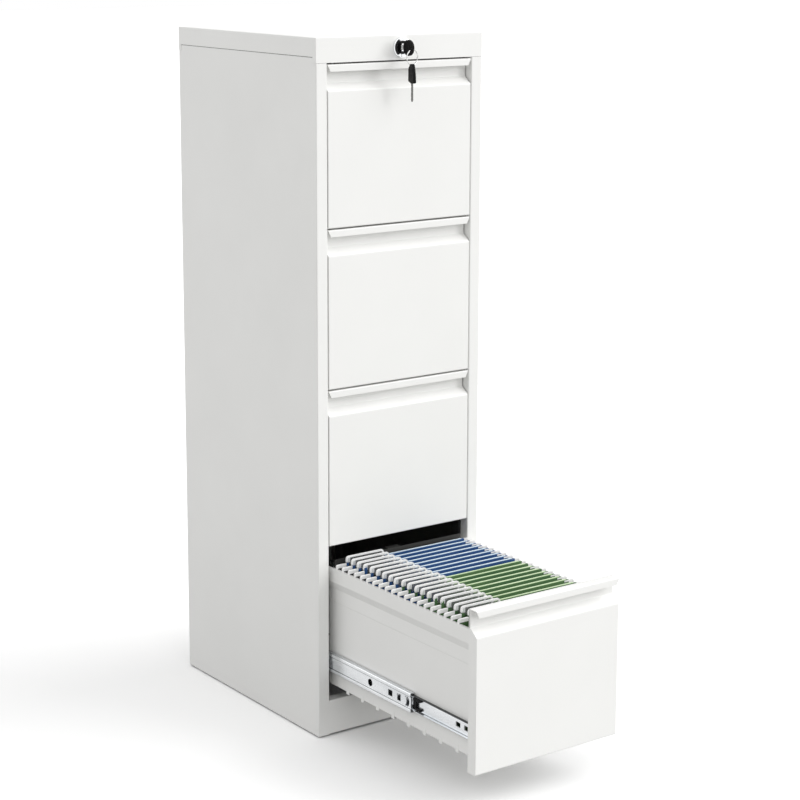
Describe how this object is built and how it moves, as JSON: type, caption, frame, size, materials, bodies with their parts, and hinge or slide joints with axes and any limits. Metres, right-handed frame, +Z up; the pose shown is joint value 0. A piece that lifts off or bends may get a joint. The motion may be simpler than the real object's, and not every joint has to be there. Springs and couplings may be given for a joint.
{
  "type": "filing cabinet",
  "caption": "Tall steel filing cabinet with full-width drawers on ball slides, a key lock, and hanging files in the open bottom drawer.",
  "frame": {"origin": "floor level, at the middle of the part's box with the bottom drawer pulled out", "axes": "+Z up, +Y from the drawer fronts towards the back panel, +X to the right seen from the front"},
  "size_m": [0.38, 0.94, 1.33],
  "materials": {
    "white_powder_coat": "fine orange-peel powder coat, semi-matte",
    "zinc_plated_steel": "rolled steel with clear zinc plating",
    "chrome_plate": "polished die-cast with chrome plating",
    "black_enamel": "satin black enamel",
    "nickel_steel": "stamped steel with nickel plating",
    "black_plastic": "moulded, fine grain",
    "black_rubber": "moulded rubber",
    "blue_card": "dyed card",
    "green_card": "dyed card",
    "white_plastic": "moulded",
    "clear_plastic": "moulded, clear over white card"
  },
  "bodies": {
    "case": {"left_side_panel": "white_powder_coat", "right_side_panel": "white_powder_coat", "back_panel": "white_powder_coat", "top_cap": "white_powder_coat", "plinth_rail": "white_powder_coat", "rear_base_rail": "white_powder_coat", "foot_glides": "black_plastic", "slide_uprights": "zinc_plated_steel", "slide_outers_left": "zinc_plated_steel", "slide_outers_right": "zinc_plated_steel", "slide_buffers": "black_rubber", "case_rivets": "zinc_plated_steel", "lock_housing": "chrome_plate", "lock_face": "black_enamel", "lock_nut": "zinc_plated_steel", "lock_bar_guides": "black_plastic", "spindle_bracket": "zinc_plated_steel"},
    "lock_core": {"lock_plug": "chrome_plate", "lock_spindle": "zinc_plated_steel", "lock_crank": "zinc_plated_steel"},
    "lock_bar": {"lock_bar": "zinc_plated_steel"},
    "key": {"key_blade": "nickel_steel", "key_bow": "black_plastic"},
    "drawer_1": {"drawer_front_1": "white_powder_coat", "drawer_liner_1": "white_powder_coat", "drawer_tray_1": "white_powder_coat", "drawer_back_1": "white_powder_coat", "slide_inner_1": "zinc_plated_steel", "release_levers_1": "black_plastic"},
    "slide_mid_1": {"slide_mid_1": "zinc_plated_steel"},
    "ball_cage_1": {"ball_cage_1": "zinc_plated_steel"},
    "drawer_2": {"drawer_front_2": "white_powder_coat", "drawer_liner_2": "white_powder_coat", "drawer_tray_2": "white_powder_coat", "drawer_back_2": "white_powder_coat", "slide_inner_2": "zinc_plated_steel", "release_levers_2": "black_plastic"},
    "slide_mid_2": {"slide_mid_2": "zinc_plated_steel"},
    "ball_cage_2": {"ball_cage_2": "zinc_plated_steel"},
    "drawer_3": {"drawer_front_3": "white_powder_coat", "drawer_liner_3": "white_powder_coat", "drawer_tray_3": "white_powder_coat", "drawer_back_3": "white_powder_coat", "slide_inner_3": "zinc_plated_steel", "release_levers_3": "black_plastic"},
    "slide_mid_3": {"slide_mid_3": "zinc_plated_steel"},
    "ball_cage_3": {"ball_cage_3": "zinc_plated_steel"},
    "drawer_4": {"drawer_front_4": "white_powder_coat", "drawer_liner_4": "white_powder_coat", "drawer_tray_4": "white_powder_coat", "drawer_back_4": "white_powder_coat", "slide_inner_4": "zinc_plated_steel", "release_levers_4": "black_plastic", "blue_folders": "blue_card", "green_folders": "green_card", "folder_rods": "white_plastic", "folder_tags": "clear_plastic"},
    "slide_mid_4": {"slide_mid_4": "zinc_plated_steel"},
    "ball_cage_4": {"ball_cage_4": "zinc_plated_steel"}
  },
  "joints": [
    {"name": "drawer_1_slide", "type": "slide", "parent": "case", "child": "drawer_1", "axis": [0, -1, 0], "range_m": [0, 0.45]},
    {"name": "slide_mid_1_slide", "type": "slide", "parent": "case", "child": "slide_mid_1", "axis": [0, -1, 0], "range_m": [0, 0.28401]},
    {"name": "ball_cage_1_slide", "type": "slide", "parent": "case", "child": "ball_cage_1", "axis": [0, -1, 0], "range_m": [0, 0.14201]},
    {"name": "drawer_2_slide", "type": "slide", "parent": "case", "child": "drawer_2", "axis": [0, -1, 0], "range_m": [0, 0.45]},
    {"name": "slide_mid_2_slide", "type": "slide", "parent": "case", "child": "slide_mid_2", "axis": [0, -1, 0], "range_m": [0, 0.28401]},
    {"name": "ball_cage_2_slide", "type": "slide", "parent": "case", "child": "ball_cage_2", "axis": [0, -1, 0], "range_m": [0, 0.14201]},
    {"name": "drawer_3_slide", "type": "slide", "parent": "case", "child": "drawer_3", "axis": [0, -1, 0], "range_m": [0, 0.45]},
    {"name": "slide_mid_3_slide", "type": "slide", "parent": "case", "child": "slide_mid_3", "axis": [0, -1, 0], "range_m": [0, 0.28401]},
    {"name": "ball_cage_3_slide", "type": "slide", "parent": "case", "child": "ball_cage_3", "axis": [0, -1, 0], "range_m": [0, 0.14201]},
    {"name": "drawer_4_slide", "type": "slide", "parent": "case", "child": "drawer_4", "axis": [0, -1, 0], "range_m": [-0.45, 0]},
    {"name": "slide_mid_4_slide", "type": "slide", "parent": "case", "child": "slide_mid_4", "axis": [0, -1, 0], "range_m": [-0.28401, 0]},
    {"name": "ball_cage_4_slide", "type": "slide", "parent": "case", "child": "ball_cage_4", "axis": [0, -1, 0], "range_m": [-0.14201, 0]},
    {"name": "lock_turn", "type": "hinge", "parent": "case", "child": "lock_core", "pos_m": [0, -0.02, 1.307], "axis": [0, 1, 0], "range_deg": [0, 90]},
    {"name": "lock_bar_lift", "type": "slide", "parent": "case", "child": "lock_bar", "axis": [0, 0, 1], "range_m": [0, 0.016]},
    {"name": "key_pull", "type": "slide", "parent": "lock_core", "child": "key", "axis": [0, -1, 0], "range_m": [0, 0.032]}
  ],
  "couplings": [
    {"joint": "slide_mid_1_slide", "follows": "drawer_1_slide", "ratio": 0.6311},
    {"joint": "ball_cage_1_slide", "follows": "drawer_1_slide", "ratio": 0.31555},
    {"joint": "slide_mid_2_slide", "follows": "drawer_2_slide", "ratio": 0.6311},
    {"joint": "ball_cage_2_slide", "follows": "drawer_2_slide", "ratio": 0.31555},
    {"joint": "slide_mid_3_slide", "follows": "drawer_3_slide", "ratio": 0.6311},
    {"joint": "ball_cage_3_slide", "follows": "drawer_3_slide", "ratio": 0.31555},
    {"joint": "slide_mid_4_slide", "follows": "drawer_4_slide", "ratio": 0.6311},
    {"joint": "ball_cage_4_slide", "follows": "drawer_4_slide", "ratio": 0.31555},
    {"joint": "lock_turn", "follows": "lock_bar_lift", "rad_per_m": 98.175}
  ]
}
